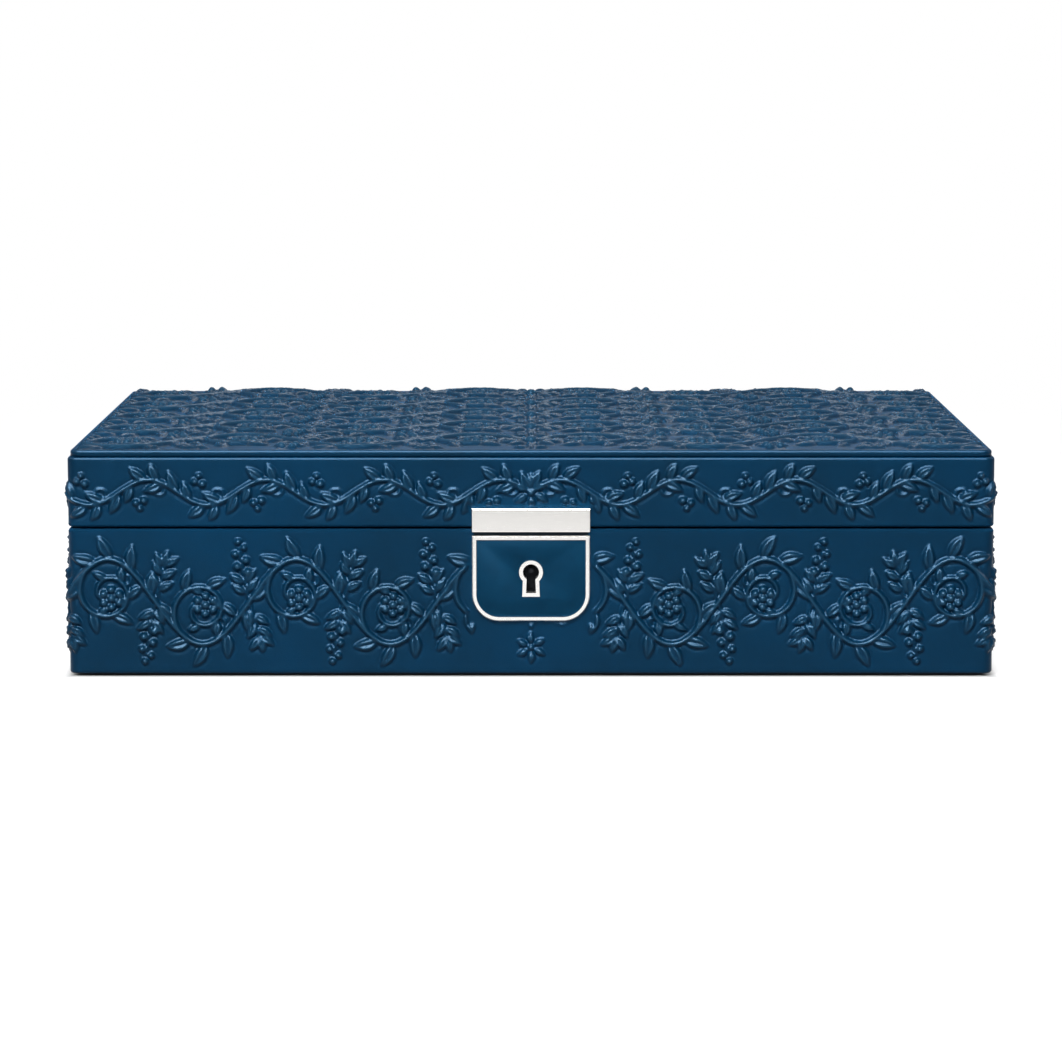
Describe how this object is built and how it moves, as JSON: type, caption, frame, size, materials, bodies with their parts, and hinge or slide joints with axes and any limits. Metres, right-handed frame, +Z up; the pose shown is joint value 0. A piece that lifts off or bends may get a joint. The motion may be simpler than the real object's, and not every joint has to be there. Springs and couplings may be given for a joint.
{
  "type": "jewellery case",
  "caption": "Low rectangular jewellery case in embossed dark blue leather, with a hinged lid, mirror, box lock, hasp bar and a lift-out tray with ring rolls.",
  "frame": {"origin": "on the resting face, under the middle of the case", "axes": "+X to the right along the front, +Y from the front to the hinged back, +Z up"},
  "size_m": [0.28, 0.2016, 0.069],
  "materials": {
    "embossed_leather": "satin, embossed",
    "plain_leather": "smooth satin",
    "carcass_board": "raw board",
    "panel_card": "stiff card",
    "wadding": "soft wadding",
    "suede_lining": "suede",
    "bottom_cloth": "felt",
    "tray_suede": "suede over board",
    "ring_velvet": "velvet over foam",
    "polished_nickel": "polished nickel plate",
    "lock_steel": "bright sheet steel",
    "lock_brass": "milled brass",
    "mirror_glass": "silvered glass"
  },
  "bodies": {
    "base": {"base_back_board": "carcass_board", "base_bottom_cover": "bottom_cloth", "base_floor_board": "carcass_board", "base_front_board": "carcass_board", "base_leather_wrap": "embossed_leather", "base_left_board": "carcass_board", "base_lining_back": "suede_lining", "base_lining_floor": "suede_lining", "base_lining_front": "suede_lining", "base_lining_left": "suede_lining", "base_lining_right": "suede_lining", "base_right_board": "carcass_board", "bolt_spring": "lock_steel", "bolt_stump": "lock_brass", "hinge_base_leaf_left": "polished_nickel", "hinge_base_leaf_right": "polished_nickel", "hinge_base_screws": "polished_nickel", "hinge_pin_left": "polished_nickel", "hinge_pin_right": "polished_nickel", "key_post": "lock_steel", "keyhole_escutcheon": "polished_nickel", "lock_cap": "lock_steel", "lock_case": "lock_steel", "lock_inlay": "plain_leather", "lock_plate": "polished_nickel", "lock_plate_pins": "lock_steel", "lock_screws": "lock_steel", "lower_divider_left": "tray_suede", "lower_divider_right": "tray_suede"},
    "lid": {"hasp_bar": "polished_nickel", "hasp_rivets": "lock_steel", "hinge_lid_leaf_left": "polished_nickel", "hinge_lid_leaf_right": "polished_nickel", "hinge_lid_screws": "polished_nickel", "lid_back_board": "carcass_board", "lid_front_board": "carcass_board", "lid_leather_wrap": "embossed_leather", "lid_left_board": "carcass_board", "lid_lining_back": "suede_lining", "lid_lining_front": "suede_lining", "lid_lining_left": "suede_lining", "lid_lining_right": "suede_lining", "lid_mirror": "mirror_glass", "lid_mirror_frame": "suede_lining", "lid_panel_card": "panel_card", "lid_panel_leather": "embossed_leather", "lid_panel_padding": "wadding", "lid_right_board": "carcass_board", "lid_top_board": "carcass_board", "link_plate": "polished_nickel", "link_screws": "lock_steel"},
    "tray": {"ring_rolls": "ring_velvet", "tray_back_wall": "tray_suede", "tray_dividers": "tray_suede", "tray_floor": "tray_suede", "tray_front_wall": "tray_suede", "tray_left_wall": "tray_suede", "tray_pull_tabs": "plain_leather", "tray_right_wall": "tray_suede"},
    "bolt": {"lock_bolt": "lock_brass"}
  },
  "joints": [
    {"name": "lid_hinge", "type": "hinge", "parent": "base", "child": "lid", "pos_m": [0, 0.097, 0.0453], "axis": [-1, 0, 0], "range_deg": [0, 100]},
    {"name": "tray_lift", "type": "slide", "parent": "base", "child": "tray", "axis": [0, 0, 1], "range_m": [0, 0.012]},
    {"name": "bolt_slide", "type": "slide", "parent": "base", "child": "bolt", "axis": [-1, 0, 0], "range_m": [0, 0.0036]}
  ]
}
